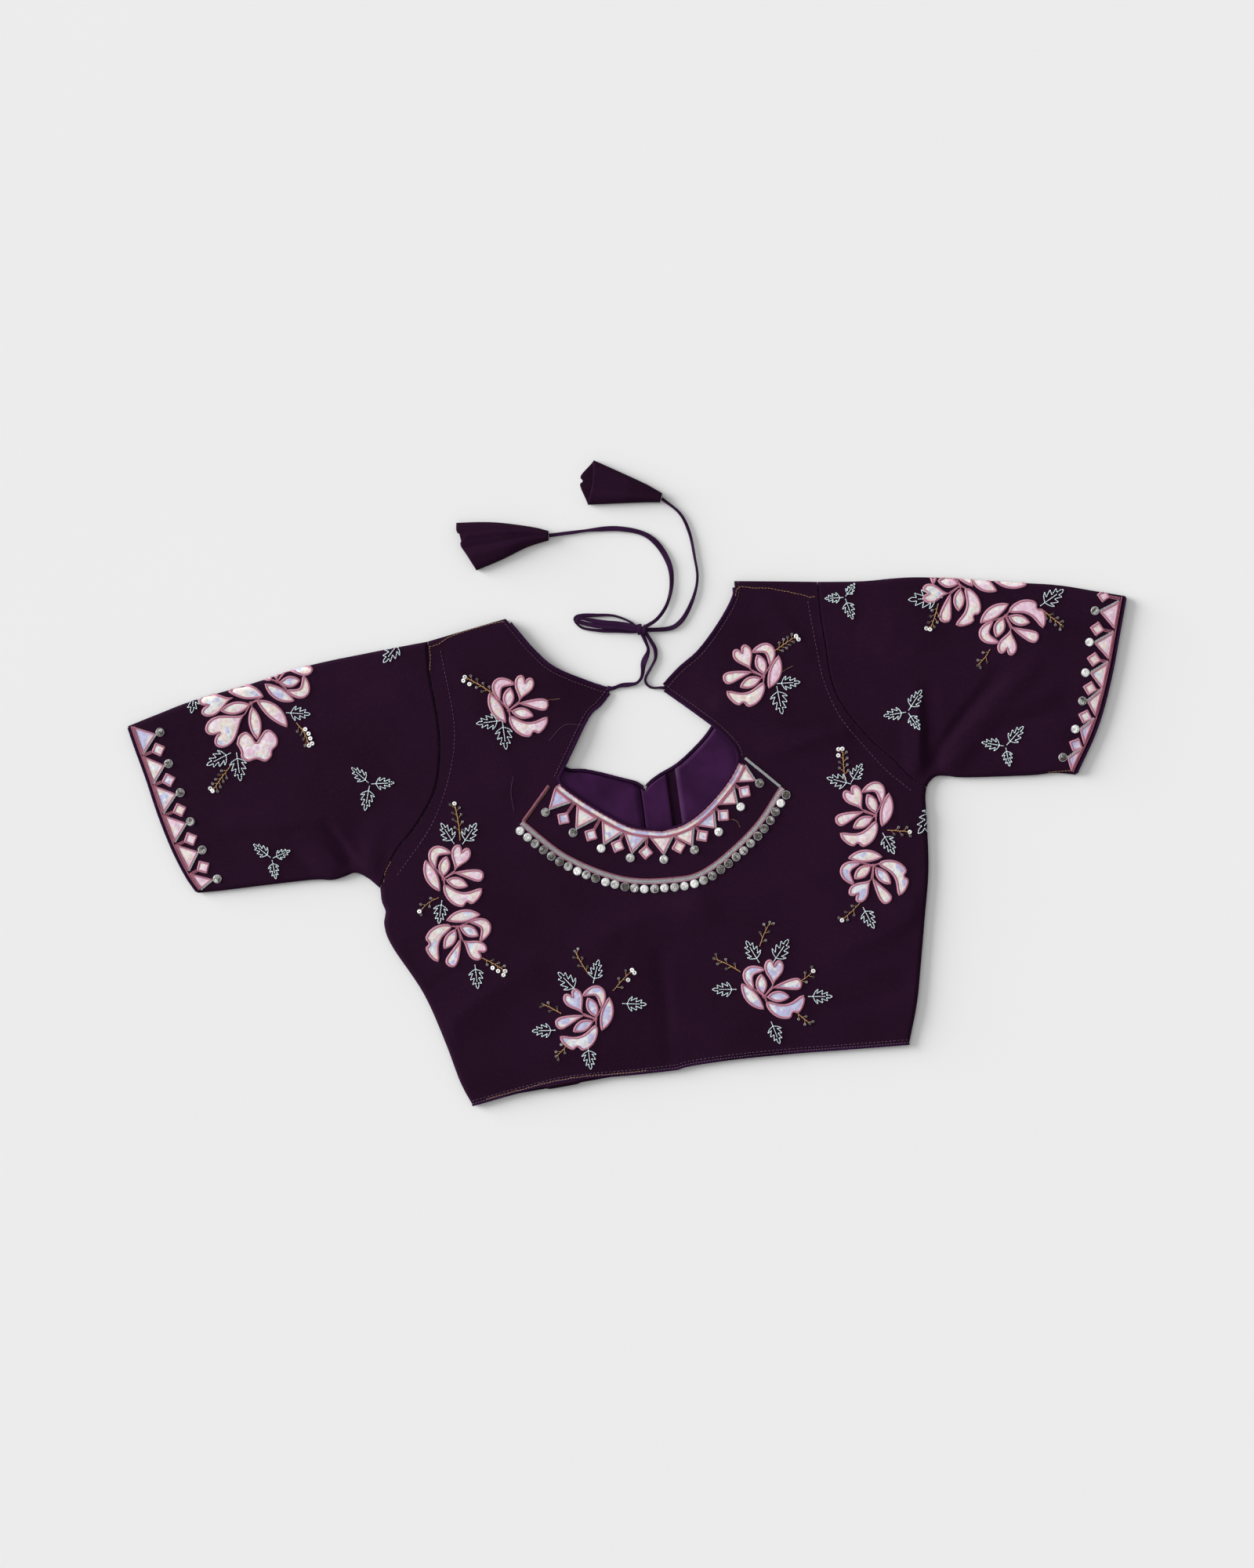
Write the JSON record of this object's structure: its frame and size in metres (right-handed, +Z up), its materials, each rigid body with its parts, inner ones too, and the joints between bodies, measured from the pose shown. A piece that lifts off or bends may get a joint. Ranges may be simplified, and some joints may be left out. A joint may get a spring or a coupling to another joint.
{
  "type": "choli blouse",
  "caption": "Cropped short-sleeved blouse laid flat, with a scooped back neck closed by a cord tie with cloth tassels.",
  "frame": {"origin": "centre of the garment's bounding box without its cords, on the surface that it lies on", "axes": "+X across the blouse towards the wearer's right sleeve, +Y up the centre back from hem to neck, +Z up from the surface"},
  "size_m": [0.8222, 0.5071, 0.0072],
  "materials": {
    "cloth": "very dark aubergine cloth with a fine matt weave",
    "lining": "dark purple satin",
    "piping": "purple satin piping",
    "cord": "purple satin bias tube"
  },
  "bodies": {
    "root": {"back_panel": "cloth", "front_left_panel": "cloth", "front_right_panel": "cloth", "front_left_lining": "lining", "front_right_lining": "lining", "hook_placket": "lining", "sleeve_left": "cloth", "sleeve_right": "cloth", "back_piping_scoop": "piping", "back_piping_left": "piping", "back_piping_right": "piping", "front_piping_left": "piping", "front_piping_right": "piping", "cord_left_strap": "cord", "cord_right_strap": "cord", "cord_outer_loop": "cord", "cord_inner_loop": "cord", "cord_long_tail": "cord", "cord_short_tail": "cord", "bow_knot": "cord", "tassel_long": "cloth", "tassel_short": "cloth"}
  },
  "joints": []
}
